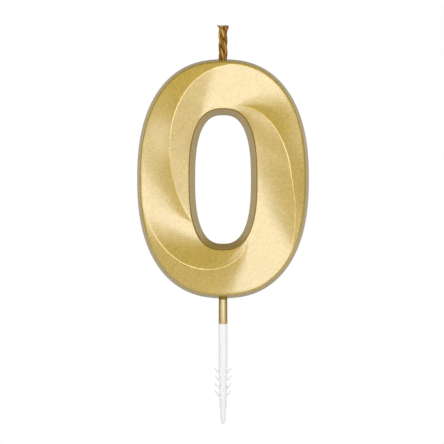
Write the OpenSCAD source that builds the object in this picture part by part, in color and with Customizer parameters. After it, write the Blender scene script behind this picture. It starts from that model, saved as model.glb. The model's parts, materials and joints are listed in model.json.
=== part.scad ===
// Numeral candle on a barbed cake pick.
// +Z is up and the numeral's front faces -Y. The origin is on the pick's axis where the gold
// stem meets the white pick, which is where the icing comes to: all below it is in the cake.

/* [Numeral] */
// Height of the numeral
numeral_h = 70; // [60:1:80]
// Width of the numeral
numeral_w = 50.2; // [46:0.1:58]
// Height of the open middle where it is narrowest
hole_h = 37.6; // [30:0.1:42]
// Width of the open middle where it is narrowest
hole_w = 16.3; // [12:0.1:20]
// How far the open middle sits below the numeral's centre
hole_drop = 0.2; // [0:0.1:1]
// Thickness from the front rim to the back rim
rim_t = 10.8; // [8:0.1:14]
// Height of a twist ridge above the rim, at its middle
ridge_h = 2.6; // [1:0.1:3]
// How far the outer wall leans in between the middle plane and a rim
outer_draft = 0.9; // [0.6:0.05:2]
// How far the wall of the open middle leans back between the middle plane and a rim
inner_draft = 1.7; // [0.6:0.05:2.4]
// Thickness of the gold coat over the wax
coat_t = 0.4; // [0.3:0.05:0.6]

/* [Wick] */
// Length of wick that stands out of the numeral
wick_out = 9.85; // [6:0.05:14]
// Depth of wick inside the wax
wick_in = 12; // [8:0.5:14]
// Diameter over the twisted strands
wick_d = 2.68; // [2:0.02:3.2]
// Length in which a strand goes once round
wick_lay = 10.4; // [7:0.1:14]
// How far a cut strand leans out at the top
wick_splay = 0.22; // [0:0.02:0.3]

/* [Stem] */
// Length of stem that shows under the numeral
stem_out = 7.45; // [4:0.05:10]
// Depth of stem inside the wax
stem_in = 9; // [6:0.5:12]
// Diameter of the stem where it enters the numeral
stem_d = 2.54; // [2.2:0.01:3]
// How much the stem widens towards its lower end
stem_flare = 0.06; // [0:0.01:0.12]
// Diameter of the socket in the stem
socket_d = 1.6; // [1.4:0.05:1.8]

/* [Pick] */
// Length of the pick from the stem to its point
pick_l = 29.3; // [26:0.1:36]
// Diameter of the smooth shaft
shaft_d = 2.56; // [2.2:0.02:3]
// Depth of the top barb's tip below the stem
barb_top = 12.9; // [10:0.1:14]
// Distance from one barb to the next
barb_pitch = 2.2; // [1.8:0.05:2.4]
// Number of barbs on each side
barb_count = 4; // [3:1:4]
// Distance between opposite barb tips
barb_span = 4.75; // [4:0.05:5.4]
// Lean of a barb from the pick's axis, in degrees
barb_lean = 40; // [35:1:50]
// Width of a barb from front to back
barb_w = 2.2; // [1.6:0.1:2.4]
// Diameter of the upper tail, under the barbs
tail_d = 1.98; // [1.7:0.02:2.2]
// Diameter of the lower tail
point_d = 1.52; // [1.2:0.02:1.6]
// Length of the lower tail
point_l = 2.6; // [2:0.1:3.5]
// Length of the rounded point
tip_l = 2.1; // [1.5:0.1:3]

/* [Hidden] */
$fn = 64;

// Squareness of the two outlines, where 2 is an ellipse
outer_power = 2.36;
hole_power = 2.62;

// The twist: three ridges wind inwards from the outer rim to the rim of the open middle.
// Angles run counter-clockwise from +X, seen from the front, and are whole steps. A section runs
// from the outer rim at its own angle to the inner rim further round by the lean.
step = 3;
section_lean = 24;
ridge_first = [81, 186, 315];
ridge_last = [189, 291, 423];
// How far each ridge's path runs ahead of an even one: all along, in its first half and in its
// outer thirds
ridge_lead = [-0.077, -0.093, -0.114];
ridge_sway = [0.077, 0.056, 0];
ridge_bend = [-0.013, -0.024, -0.008];
// Power that eases each ridge's height at its ends
ridge_ease = [1.5, 1.9, 2.4];

steps = 360 / step;
lean_steps = section_lean / step;
ridges = len(ridge_first);
numeral_z = stem_out + numeral_h / 2;
numeral_top = stem_out + numeral_h;
rim_half = rim_t / 2;

// Clearances: bonded pieces, the wick in its channel, the pick's plug in its socket, the shoulder
bond_gap = 0.02;
wick_gap = 0.05;
plug_gap = 0.05;
shoulder_gap = 0.03;
// How far a cutter runs past what it cuts
past = 5;

// Three equal strands that just clear each other round a common axis
strand_gap = 0.03;
strand_share = sin(180 / 3);
strand_orbit = (wick_d + strand_gap) / 2 / (1 + strand_share);
strand_r = strand_orbit * strand_share - strand_gap / 2;
strand_sides = 10;
strand_ring_l = 0.4;
splay_l = 2;

// The socket's closed end, and the room that the plug leaves there
stem_cap = 1.6;
plug_room = 0.6;
socket_l = stem_out + stem_in - stem_cap;
plug_l = socket_l - plug_room;
plug_d = socket_d - 2 * plug_gap;
plug_chamfer = 0.3;

// Heights of a barb's end and of its root at the pick's axis, and the slant of the end
barb_tip_t = 0.3;
barb_root_t = 1;
barb_tip_slant = 0.1;
barb_drop = barb_span / 2 / tan(barb_lean);
// The shaft tapers from a little above the first barb's tip to where the last barb leaves the tail
taper_lead = 0.9;
taper_top = barb_top - taper_lead;
last_barb = barb_top + barb_pitch * (barb_count - 1);
barbs_end = last_barb + barb_tip_t + (barb_span - tail_d) / 2 / tan(barb_lean);
point_top = pick_l - point_l - tip_l;
// The rounded point ends in a small flat, and is worked out as this many cones
tip_flat_r = 0.12;
tip_cones = 8;

function signed_power(v, p) = sign(v) * pow(abs(v), p);

// Point of a superellipse at one step round it
function oval(half_w, half_h, power, s) = [
    half_w * signed_power(cos(s * step), 2 / power),
    half_h * signed_power(sin(s * step), 2 / power)
];
function at_depth(p, y) = [p.x, y, p.y];

// Rails of the front half, each taken in by d: the middle plane's two outlines and the two rims
function middle_outer(s, d) =
    at_depth(oval(numeral_w / 2 - d, numeral_h / 2 - d, outer_power, s), 0);
function middle_inner(s, d) =
    at_depth(oval(hole_w / 2 + d, hole_h / 2 + d, hole_power, s + lean_steps), 0) - [0, 0, hole_drop];
function rim_outer(s, d) = at_depth(
    oval(numeral_w / 2 - outer_draft - d, numeral_h / 2 - outer_draft - d, outer_power, s), d - rim_half);
function rim_inner(s, d) = at_depth(
    oval(hole_w / 2 + inner_draft + d, hole_h / 2 + inner_draft + d, hole_power, s + lean_steps),
    d - rim_half) - [0, 0, hole_drop];

// First and last step of a ridge. Ridge numbers go on past the last one for the next time round.
function first_step(k) = ridge_first[k % ridges] / step + steps * floor(k / ridges);
function last_step(k) = ridge_last[k % ridges] / step + steps * floor(k / ridges);

// A ridge's point at a step: its share of the way from rim to rim, raised as a power of a half sine
function ridge_share(k, u) =
    u + ridge_lead[k] * sin(180 * u) + ridge_sway[k] * sin(360 * u) + ridge_bend[k] * sin(540 * u);
function ridge_point(k, s, d) =
    let (later = s < first_step(k) ? s + steps : s)
    let (u = min(1, (later - first_step(k)) / (last_step(k) - first_step(k))))
    let (f = ridge_share(k, u))
    rim_outer(s, d) * (1 - f) + rim_inner(s, d) * f - [0, ridge_h * pow(sin(180 * u), ridge_ease[k]), 0];

// Rows of points: the middle plane's two, then the front's rims and ridges, then the back's,
// which is the front turned half a turn about Z
MIDDLE_OUTER = 0;
MIDDLE_INNER = 1;
RIM_OUTER = 2;
RIM_INNER = 3;
RIDGE = 4;
SIDE_ROWS = 2 + ridges;
function side_points(d) = [
    for (s = [0:steps - 1]) rim_outer(s, d),
    for (s = [0:steps - 1]) rim_inner(s, d),
    for (k = [0:ridges - 1]) for (s = [0:steps - 1]) ridge_point(k, s, d)
];
function numeral_points(d) = [
    for (s = [0:steps - 1]) middle_outer(s, d),
    for (s = [0:steps - 1]) middle_inner(s, d),
    each side_points(d),
    for (p = side_points(d)) [-p.x, -p.y, p.z]
];

// Index of a point. On the back, a step of the middle plane counts from the other side.
function mirrored(row, s) = (steps * 3 / 2 - s - (row == MIDDLE_INNER ? 2 * lean_steps : 0)) % steps;
function index(row, s, back) =
    row < RIM_OUTER ? row * steps + (back ? mirrored(row, s % steps) : s % steps)
        : (row + (back ? SIDE_ROWS : 0)) * steps + s % steps;

// A ridge as a rail: it leaves the outer rim at its first step and meets the inner rim at its last
function rail(k, s, back) =
    s <= first_step(k) ? index(RIM_OUTER, s, back)
        : s >= last_step(k) ? index(RIM_INNER, s, back)
        : index(RIDGE + k % ridges, s, back);

// Two triangles of a strip, without those that a shared point leaves empty
function whole(t) = t[0] != t[1] && t[1] != t[2] && t[2] != t[0];
function quad(a, b, c, d) = [for (t = [[a, b, c], [a, c, d]]) if (whole(t)) t];

// One side of the numeral: two walls and a facet between each ridge and the next
function side_faces(back) = [
    for (s = [0:steps - 1]) each quad(
        index(RIM_OUTER, s, back), index(RIM_OUTER, s + 1, back),
        index(MIDDLE_OUTER, s + 1, back), index(MIDDLE_OUTER, s, back)),
    for (s = [0:steps - 1]) each quad(
        index(RIM_INNER, s + 1, back), index(RIM_INNER, s, back),
        index(MIDDLE_INNER, s, back), index(MIDDLE_INNER, s + 1, back)),
    for (k = [0:ridges - 1]) for (s = [first_step(k):last_step(k + 1) - 1]) each quad(
        rail(k + 1, s, back), rail(k, s, back), rail(k, s + 1, back), rail(k + 1, s + 1, back))
];

// The numeral's form, taken in all over by d
module numeral_form(d) {
    translate([0, 0, numeral_z])
        polyhedron(numeral_points(d), [each side_faces(false), each side_faces(true)], convexity = 8);
}

// Cutter for the channel that the wick stands in
module wick_channel() {
    translate([0, 0, numeral_top - wick_in])
        cylinder(h = wick_in + past, d = wick_d + 2 * wick_gap);
}

// Cutter for the hole that the stem is bonded into
module stem_hole() {
    translate([0, 0, stem_out - past])
        cylinder(h = stem_in + past + bond_gap, d = stem_d + 2 * bond_gap);
}

// Cast paraffin body of the numeral, the fuel
module wax_core() {
    color("ivory") difference() {
        numeral_form(coat_t + bond_gap);
        wick_channel();
        stem_hole();
    }
}

// Metallic gold coat over the whole body
module gold_coat() {
    color("#c8a951") difference() {
        numeral_form(0);
        numeral_form(coat_t);
        wick_channel();
        stem_hole();
    }
}

// One strand of the wick: a left-hand spiral that leans out at its cut end
function strand_centre(k, z) =
    let (out = max(0, (z - wick_in - wick_out + splay_l) / splay_l))
    let (orbit = strand_orbit + wick_splay * out * out)
    let (angle = 120 * k - 360 * z / wick_lay)
    [orbit * cos(angle), orbit * sin(angle), z];
module wick_strand(k) {
    length = wick_in + wick_out - wick_gap;
    rings = round(length / strand_ring_l);
    points = [
        for (r = [0:rings]) for (a = [0:strand_sides - 1])
            strand_centre(k, wick_gap + length * r / rings)
                + strand_r * [cos(a * 360 / strand_sides), sin(a * 360 / strand_sides), 0]
    ];
    sides = [
        for (r = [0:rings - 1]) for (a = [0:strand_sides - 1])
            let (b = (a + 1) % strand_sides)
            each quad(
                r * strand_sides + a, (r + 1) * strand_sides + a,
                (r + 1) * strand_sides + b, r * strand_sides + b)
    ];
    ends = [
        for (a = [1:strand_sides - 2]) each [
            [0, a, a + 1],
            [for (v = [0, a + 1, a]) rings * strand_sides + v]
        ]
    ];
    color("#9a6a2c") translate([0, 0, numeral_top - wick_in])
        polyhedron(points, [each sides, each ends], convexity = 4);
}

// Gold stem: a tube with a closed upper end, bonded into the numeral
module stem() {
    color("#d0b060") difference() {
        union() {
            translate([0, 0, stem_out]) cylinder(h = stem_in, d = stem_d);
            translate([0, 0, shoulder_gap])
                cylinder(h = stem_out - shoulder_gap, d1 = stem_d + stem_flare, d2 = stem_d);
        }
        translate([0, 0, -past]) cylinder(h = socket_l + past, d = socket_d);
    }
}

// One pair of barbs as a chevron: thick where its arms meet on the axis, thin at the raised tips
module barb_pair(depth) {
    tip_x = barb_span / 2;
    root_z = -depth - barb_drop;
    rotate([90, 0, 0]) linear_extrude(barb_w, center = true) polygon([
        [0, root_z - barb_root_t / 2],
        [tip_x, -depth - barb_tip_t],
        [tip_x - barb_tip_slant, -depth],
        [0, root_z + barb_root_t / 2],
        [barb_tip_slant - tip_x, -depth],
        [-tip_x, -depth - barb_tip_t]
    ]);
}

// Body of the pick, turned from one outline that ends in a quarter of an ellipse
module pick_body() {
    rotate_extrude() polygon([
        [0, plug_l],
        [plug_d / 2 - plug_chamfer / 2, plug_l],
        [plug_d / 2, plug_l - plug_chamfer],
        [plug_d / 2, 0],
        [shaft_d / 2, 0],
        [shaft_d / 2, -taper_top],
        [tail_d / 2, -barbs_end],
        [tail_d / 2, -point_top],
        [point_d / 2, -point_top],
        for (n = [0:tip_cones])
            let (a = 90 * n / tip_cones)
            [tip_flat_r + (point_d / 2 - tip_flat_r) * cos(a), tip_l - pick_l - tip_l * sin(a)],
        [0, -pick_l]
    ]);
}

// White pick: plug for the stem, smooth shaft, barbed taper, two-step tail and blunt point
module pick() {
    color("#f0f0f2") {
        pick_body();
        for (n = [0:barb_count - 1]) barb_pair(barb_top + n * barb_pitch);
    }
}

wax_core();
gold_coat();
wick_strand(0);  // wick_strand_1
wick_strand(1);  // wick_strand_2
wick_strand(2);  // wick_strand_3
stem();
pick();
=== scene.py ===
"""Number candle: a gold zero with a twisted relief, a twisted wick, a gold stem and a white barbed pick.

Shapes are worked out in millimetres as whole arrays and put into meshes in metres, in the frame of the
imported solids: +Z up, +X to the right and the numeral's front towards -Y, with the origin on the pick's
axis where the gold stem meets the white pick.
"""

import json
import logging
import math
from dataclasses import dataclass
from enum import Enum
from typing import Any

import bpy
import numpy as np
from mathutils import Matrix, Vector

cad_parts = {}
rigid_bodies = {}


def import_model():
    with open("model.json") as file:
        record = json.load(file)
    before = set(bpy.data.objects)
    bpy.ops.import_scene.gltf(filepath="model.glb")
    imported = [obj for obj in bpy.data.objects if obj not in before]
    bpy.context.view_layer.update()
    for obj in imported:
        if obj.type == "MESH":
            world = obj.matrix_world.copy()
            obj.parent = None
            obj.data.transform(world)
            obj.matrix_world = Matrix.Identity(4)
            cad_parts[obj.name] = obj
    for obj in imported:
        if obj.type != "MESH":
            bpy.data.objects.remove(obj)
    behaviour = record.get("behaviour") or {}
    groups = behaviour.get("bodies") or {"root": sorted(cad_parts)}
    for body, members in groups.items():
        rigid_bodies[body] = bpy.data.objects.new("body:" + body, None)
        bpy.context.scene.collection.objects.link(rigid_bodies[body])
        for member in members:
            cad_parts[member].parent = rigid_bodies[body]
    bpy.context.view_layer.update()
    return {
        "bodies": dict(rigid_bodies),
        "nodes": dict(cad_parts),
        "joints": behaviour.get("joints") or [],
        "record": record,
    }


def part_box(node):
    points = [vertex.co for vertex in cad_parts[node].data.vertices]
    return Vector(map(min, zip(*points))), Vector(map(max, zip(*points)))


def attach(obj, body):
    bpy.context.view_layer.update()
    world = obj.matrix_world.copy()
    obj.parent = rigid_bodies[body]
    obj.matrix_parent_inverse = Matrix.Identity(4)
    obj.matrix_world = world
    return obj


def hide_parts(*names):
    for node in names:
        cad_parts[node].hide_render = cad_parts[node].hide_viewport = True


Array = np.ndarray
Colour = tuple[float, float, float]

LOG = logging.getLogger("number_candle")
# Metres in a millimetre
MM = 0.001
# Name of the map that a piece's pattern follows
CHART = "chart"
# Specular level of a surface with its full gloss
FULL_GLOSS = 0.5
# Tones of a moulded skin between which a finish goes from one of its colours to the other
SKIN_TONES = (0.8, 1.2)


class Body(Enum):
    """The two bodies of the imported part."""

    CANDLE = "candle"
    PICK = "pick"


class Slot(Enum):
    """The record's material slots."""

    WAX = "wax"
    COAT = "gold_coat"
    WICK = "wick_cotton"
    STEM = "gold_stem"
    PLASTIC = "white_plastic"


class Join(Enum):
    """How a second closed shape changes a first one."""

    CUT = "DIFFERENCE"
    FUSE = "UNION"


@dataclass
class Patch:
    """A surface of triangles, in millimetres.

    Attributes:
        points: One row of three for each point.
        faces: Three point numbers for each triangle, counter-clockwise seen from outside.
        chart: Two map coordinates for each corner of each triangle.
    """

    points: Array
    faces: Array
    chart: Array

    @classmethod
    def grid(cls, points: Array, chart: Array | None = None, closed: bool = False) -> "Patch":
        """Cover a grid of points with two triangles for each cell.

        The outside is where a step along the columns crossed with a step along the rows points.

        Args:
            points: Array of rows by columns by three.
            chart: Map coordinates of the points, with one column more where the grid is closed.
            closed: Whether the last column is joined to the first.

        Returns:
            The triangulated patch.
        """
        rows, columns = points.shape[:2]
        row, column = np.mgrid[0:rows - 1, 0:columns if closed else columns - 1]
        after = column + 1
        corners = [(row, column), (row, after), (row + 1, after), (row + 1, column)]
        number = np.stack([r * columns + c % columns for r, c in corners], -1).reshape(-1, 4)
        if chart is None:
            chart = np.zeros((rows, columns + 1, 2))
        mapped = np.stack([chart[r, c] for r, c in corners], -2).reshape(-1, 4, 2)
        halves = np.array([[0, 1, 2], [0, 2, 3]])
        faces = number[:, halves].reshape(-1, 3)
        return cls(points.reshape(-1, 3), faces, mapped[:, halves].reshape(-1, 3, 2))

    @classmethod
    def joined(cls, patches: list["Patch"]) -> "Patch":
        """Put several patches into one, each still apart from the others.

        Args:
            patches: The patches.

        Returns:
            The one patch.
        """
        starts = np.cumsum([0] + [len(p.points) for p in patches[:-1]])
        return cls(
            np.concatenate([p.points for p in patches]),
            np.concatenate([p.faces + start for p, start in zip(patches, starts)]),
            np.concatenate([p.chart for p in patches]),
        )

    def turned_half(self) -> "Patch":
        """Return a copy turned half a turn about Z."""
        return Patch(self.points * [-1, -1, 1], self.faces, self.chart)

    def inside_out(self) -> "Patch":
        """Return a copy whose faces point the other way."""
        return Patch(self.points, self.faces[:, ::-1], self.chart[:, ::-1])

    def welded(self, tolerance: float = 1e-4) -> "Patch":
        """Merge points that share a place and drop the triangles that this leaves empty.

        Args:
            tolerance: Spacing of the lattice that places are rounded to.

        Returns:
            The merged patch.
        """
        places = np.round(self.points / tolerance).astype(np.int64)
        _, kept, number = np.unique(places, axis=0, return_index=True, return_inverse=True)
        faces = number.reshape(-1)[self.faces]
        whole = (faces != np.roll(faces, 1, axis=1)).all(axis=1)
        return Patch(self.points[kept], faces[whole], self.chart[whole])

    def piece(self, name: str, sharp_angle: float = 40.0) -> bpy.types.Object:
        """Make the patch an object of the scene, in metres.

        Args:
            name: The object's name.
            sharp_angle: Angle in degrees past which an edge is shaded as a crease.

        Returns:
            The new object, at the origin.
        """
        mesh = bpy.data.meshes.new(name)
        mesh.from_pydata((self.points * MM).tolist(), [], self.faces.tolist())
        layer = mesh.uv_layers.new(name=CHART)
        layer.data.foreach_set("uv", self.chart.ravel())
        made = bpy.data.objects.new(name, mesh)
        bpy.context.scene.collection.objects.link(made)
        shade_smooth(made, sharp_angle)
        return made


def shade_smooth(piece: bpy.types.Object, sharp_angle: float) -> None:
    """Shade a piece smoothly but for its creases.

    Args:
        piece: The piece to shade.
        sharp_angle: Angle in degrees past which an edge is a crease.
    """
    mesh = piece.data
    mesh.polygons.foreach_set("use_smooth", np.ones(len(mesh.polygons), dtype=bool))
    mesh.set_sharp_from_angle(angle=math.radians(sharp_angle))
    mesh.update()


def join_solid(piece: bpy.types.Object, tool: bpy.types.Object, join: Join, sharp_angle: float) -> None:
    """Cut a closed shape out of a piece, or fuse it to the piece, and remove the shape.

    Args:
        piece: The piece to change.
        tool: The closed shape, which is used up.
        join: Whether to cut or to fuse.
        sharp_angle: Angle in degrees past which an edge is a crease.
    """
    step = piece.modifiers.new(join.name.lower(), "BOOLEAN")
    step.operation = join.value
    step.solver = "MANIFOLD"
    step.object = tool
    shapes = bpy.context.evaluated_depsgraph_get()
    result = bpy.data.meshes.new_from_object(piece.evaluated_get(shapes))
    piece.modifiers.clear()
    before, piece.data = piece.data, result
    used = tool.data
    bpy.data.objects.remove(tool)
    bpy.data.meshes.remove(used)
    name = before.name
    bpy.data.meshes.remove(before)
    result.name = name
    shade_smooth(piece, sharp_angle)


def box_mm(node: str) -> tuple[Array, Array]:
    """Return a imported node's lowest and highest corners in millimetres."""
    low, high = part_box(node)
    return np.array(low) / MM, np.array(high) / MM


def ring_angles(sides: int) -> Array:
    """Return even angles once round, in radians, without the last one that closes the ring."""
    return np.linspace(0, 2 * math.pi, sides, endpoint=False)


def tube_chart(rows: Array, sides: int) -> Array:
    """Return the map of a closed tube: share of the way round, and a value for each row."""
    return np.stack(np.meshgrid(np.linspace(0, 1, sides + 1), rows), -1)


def superellipse(turn: Array, half_w: Array | float, half_h: Array | float, power: float) -> Array:
    """Return points of a squared oval.

    Across is half the width times the signed power of the cosine, and up is half the height times the
    signed power of the sine.

    Args:
        turn: Angles in radians.
        half_w: Half of the width.
        half_h: Half of the height.
        power: Squareness, where 2 is an ellipse.

    Returns:
        Points of two.
    """
    cosine, sine = np.cos(turn), np.sin(turn)
    across = half_w * np.sign(cosine) * np.abs(cosine) ** (2 / power)
    up = half_h * np.sign(sine) * np.abs(sine) ** (2 / power)
    return np.stack([across, up], -1)


def eased(outline: Array, reach: tuple[float, ...], steps: int = 5) -> Array:
    """Round the corners of an open outline.

    Each corner becomes a quadratic curve whose middle control point is the corner and whose ends lie the
    corner's reach away along its two edges.

    Args:
        outline: Points of two.
        reach: How far each corner between the first and the last point is cut back.
        steps: Points in each curve.

    Returns:
        The rounded outline, with its first and last points kept.
    """
    before, corner, after = outline[:-2], outline[1:-1], outline[2:]
    cut_back = np.array(reach)[:, None]

    def towards(point: Array) -> Array:
        """Return the curve's end on the way to a neighbouring point."""
        way = point - corner
        return corner + way * cut_back / np.linalg.norm(way, axis=1, keepdims=True)

    s = np.linspace(0, 1, steps)[None, :, None]
    start, end = towards(before)[:, None], towards(after)[:, None]
    curves = (1 - s) ** 2 * start + 2 * s * (1 - s) * corner[:, None] + s ** 2 * end
    return np.concatenate([outline[:1], curves.reshape(-1, 2), outline[-1:]])


def lathe(outline: Array, sides: int, swell: Array | None = None) -> Patch:
    """Turn an outline of radius and height about the Z axis.

    A point is (radius cos a, radius sin a, height), and the swell widens the radius by a share at each angle.

    Args:
        outline: Points of radius and height, running so that the solid is on the left.
        sides: Points round the axis.
        swell: Share by which the radius grows at each angle, or None.

    Returns:
        The closed surface.
    """
    angle = ring_angles(sides)
    radius = outline[:, :1] * (1 if swell is None else 1 + swell)
    height = np.broadcast_to(outline[:, 1:], (len(outline), sides))
    points = np.stack([radius * np.cos(angle), radius * np.sin(angle), height], -1)
    return Patch.grid(points, tube_chart(outline[:, 1], sides), closed=True).welded()


def tube(path: Array, radius: Array, sides: int) -> Patch:
    """Carry a circle of changing radius along an upright path.

    A point is the path's point plus the radius times (cos a, sin a, 0), so each ring lies level. The ends
    close where the radius runs to nothing.

    Args:
        path: Points of three, rising.
        radius: Radius at each point.
        sides: Points round the path.

    Returns:
        The closed surface.
    """
    angle = ring_angles(sides)
    ring = np.stack([np.cos(angle), np.sin(angle), np.zeros(sides)], -1)
    points = path[:, None] + radius[:, None, None] * ring
    return Patch.grid(points, tube_chart(path[:, 2], sides), closed=True).welded(1e-6)


def rounded_radius(share: Array, radius: Array, cap: float) -> Array:
    """Return a radius that closes at both ends as a quarter round.

    Args:
        share: Place along the tube, from 0 to 1.
        radius: Radius away from the ends.
        cap: Share of the length that an end's rounding takes.

    Returns:
        The radius times the square root of one less the square of the depth into the cap.
    """
    into = np.clip(1 - np.minimum(share, 1 - share) / cap, 0, 1)
    return radius * np.sqrt(1 - into ** 2)


class Wiring:
    """Adds nodes to one shader tree and joins them."""

    def __init__(self, tree: bpy.types.NodeTree) -> None:
        """Hold the tree that the nodes go into."""
        self.tree = tree

    def add(self, kind: str, sockets: dict[str | int, Any] | None = None, **settings: Any) -> bpy.types.Node:
        """Add a node, set its settings and fill its inputs.

        Args:
            kind: Node type, without its ShaderNode prefix.
            sockets: Values for the inputs, or the outputs that they are linked to.
            **settings: Properties of the node.

        Returns:
            The new node.
        """
        node = self.tree.nodes.new("ShaderNode" + kind)
        for name, value in settings.items():
            setattr(node, name, value)
        self.fill(node, sockets or {})
        return node

    def fill(self, node: bpy.types.Node, sockets: dict[str | int, Any]) -> None:
        """Set or link a node's inputs.

        Args:
            node: The node.
            sockets: Values for the inputs, or the outputs that they are linked to.
        """
        for name, value in sockets.items():
            target = node.inputs[name]
            if isinstance(value, bpy.types.NodeSocket):
                self.tree.links.new(value, target)
            else:
                target.default_value = value

    def math(self, operation: str, first: Any, second: Any = 0.0) -> bpy.types.NodeSocket:
        """Add an operation on two values and return its output."""
        return self.add("Math", {0: first, 1: second}, operation=operation).outputs[0]

    def rest(self, share: Any) -> bpy.types.NodeSocket:
        """Add what a share leaves of one and return its output."""
        return self.math("SUBTRACT", 1.0, share)

    def ramp(self, value: Any, low: float, high: float) -> bpy.types.NodeSocket:
        """Add a smooth step from 0 at the low value to 1 at the high one and return its output."""
        sockets = {"Value": value, "From Min": low, "From Max": high}
        return self.add("MapRange", sockets, interpolation_type="SMOOTHSTEP").outputs["Result"]

    def off_axis(self, place: bpy.types.NodeSocket) -> bpy.types.NodeSocket:
        """Add a place's distance from the Z axis and return its output."""
        level = self.add("VectorMath", {0: place, 1: (1.0, 1.0, 0.0)}, operation="MULTIPLY").outputs[0]
        return self.add("VectorMath", {0: level}, operation="LENGTH").outputs["Value"]

    def grey(self, tone: bpy.types.NodeSocket) -> bpy.types.NodeSocket:
        """Add a grey of a tone and return its output."""
        return self.add("CombineColor", {0: tone, 1: tone, 2: tone}).outputs[0]

    def blend(self, share: Any, first: Any, second: Any, mode: str = "MIX") -> bpy.types.NodeSocket:
        """Add a mix of two colours.

        Args:
            share: Share of the second colour.
            first: The first colour, or the output that gives it.
            second: The second colour, likewise.
            mode: How the second colour is laid on the first.

        Returns:
            The mix's output.
        """
        node = self.add("Mix", {"Factor": share}, data_type="RGBA", blend_type=mode)
        colours = [socket for socket in node.inputs if socket.type == "RGBA"]
        for socket, value in zip(colours, (first, second)):
            if isinstance(value, bpy.types.NodeSocket):
                self.tree.links.new(value, socket)
            else:
                socket.default_value = (*value, 1.0)
        return next(socket for socket in node.outputs if socket.type == "RGBA")


def shader_group(name: str, inputs: dict[str, str], outputs: dict[str, str]) -> tuple[Wiring, Any, Any]:
    """Start a shader node group with named sockets.

    Args:
        name: The group's name.
        inputs: Kind of each input, as the ending of its socket type.
        outputs: Kind of each output, likewise.

    Returns:
        The group's wiring, its inputs as outputs of the input node, and the output node.
    """
    tree = bpy.data.node_groups.new(name, "ShaderNodeTree")
    for side, sockets in (("INPUT", inputs), ("OUTPUT", outputs)):
        for label, kind in sockets.items():
            tree.interface.new_socket(label, in_out=side, socket_type="NodeSocket" + kind)
    source = tree.nodes.new("NodeGroupInput")
    sink = tree.nodes.new("NodeGroupOutput")
    return Wiring(tree), source.outputs, sink


def flake_group() -> bpy.types.NodeTree:
    """Make the group for metal flake in lacquer: cells, each with a tone and a lean of its own.

    Returns:
        The group, whose cells are as wide as its Size, in metres.
    """
    wiring, given, sink = shader_group(
        "metal_flake",
        {
            "Vector": "Vector", "Tint": "Color", "Size": "Float", "Spread": "Float", "Rough": "Float",
            "Rough spread": "Float",
        },
        {"Color": "Color", "Roughness": "Float", "Height": "Float"},
    )
    per_metre = wiring.math("DIVIDE", 1.0, given["Size"])
    cells = wiring.add("TexVoronoi", {"Vector": given["Vector"], "Scale": per_metre})
    drawn = wiring.add("SeparateColor", {"Color": cells.outputs["Color"]})
    lean = wiring.math("SUBTRACT", drawn.outputs[0], 0.5)
    tone = wiring.math("ADD", wiring.math("MULTIPLY", lean, given["Spread"]), 1.0)
    added = wiring.math("MULTIPLY", drawn.outputs[1], given["Rough spread"])
    wiring.fill(sink, {
        "Color": wiring.blend(1.0, given["Tint"], wiring.grey(tone), "MULTIPLY"),
        "Roughness": wiring.math("ADD", added, given["Rough"]),
        "Height": drawn.outputs[2],
    })
    return wiring.tree


def skin_group() -> bpy.types.NodeTree:
    """Make the group for a moulded skin: soft waves in its height and a faint mottle in its tone.

    Returns:
        The group, whose waves are as long as its Size, in metres.
    """
    wiring, given, sink = shader_group(
        "moulded_skin",
        {"Vector": "Vector", "Size": "Float", "Depth": "Float"},
        {"Tone": "Float", "Height": "Float"},
    )
    per_metre = wiring.math("DIVIDE", 1.0, given["Size"])
    waves = wiring.add("TexNoise", {"Vector": given["Vector"], "Scale": per_metre, "Detail": 3.0})
    swing = wiring.math("SUBTRACT", waves.outputs["Fac"], 0.5)
    wiring.fill(sink, {
        "Tone": wiring.math("ADD", wiring.math("MULTIPLY", swing, given["Depth"]), 1.0),
        "Height": waves.outputs["Fac"],
    })
    return wiring.tree


@dataclass(frozen=True)
class Groups:
    """The shader groups that the finishes share."""

    flake: bpy.types.NodeTree
    skin: bpy.types.NodeTree

    @classmethod
    def made(cls) -> "Groups":
        """Build each group once."""
        return cls(flake_group(), skin_group())


@dataclass(frozen=True)
class Finish:
    """What every finish has: a name and a gloss.

    Attributes:
        name: The material's name.
        ior: Refractive index of the surface, which sets the strength of its white gloss.
    """

    name: str
    ior: float

    def start(self) -> tuple[bpy.types.Material, Wiring, bpy.types.Node]:
        """Start the material and set its gloss.

        Returns:
            The material, its wiring and its one shader.
        """
        material = bpy.data.materials.new(self.name)
        material.use_nodes = True
        wiring = Wiring(material.node_tree)
        shader = next(node for node in material.node_tree.nodes if node.type == "BSDF_PRINCIPLED")
        shader.inputs["IOR"].default_value = self.ior
        return material, wiring, shader

    def place(self, wiring: Wiring, group: bpy.types.NodeTree, sockets: dict[str, Any]) -> bpy.types.Node:
        """Place a shared group in the material with this finish's values.

        Args:
            wiring: The material's wiring.
            group: The shared group.
            sockets: Values for the group's inputs, or the outputs that they are linked to.

        Returns:
            The group's node.
        """
        node = wiring.tree.nodes.new("ShaderNodeGroup")
        node.node_tree = group
        wiring.fill(node, sockets)
        return node


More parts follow.
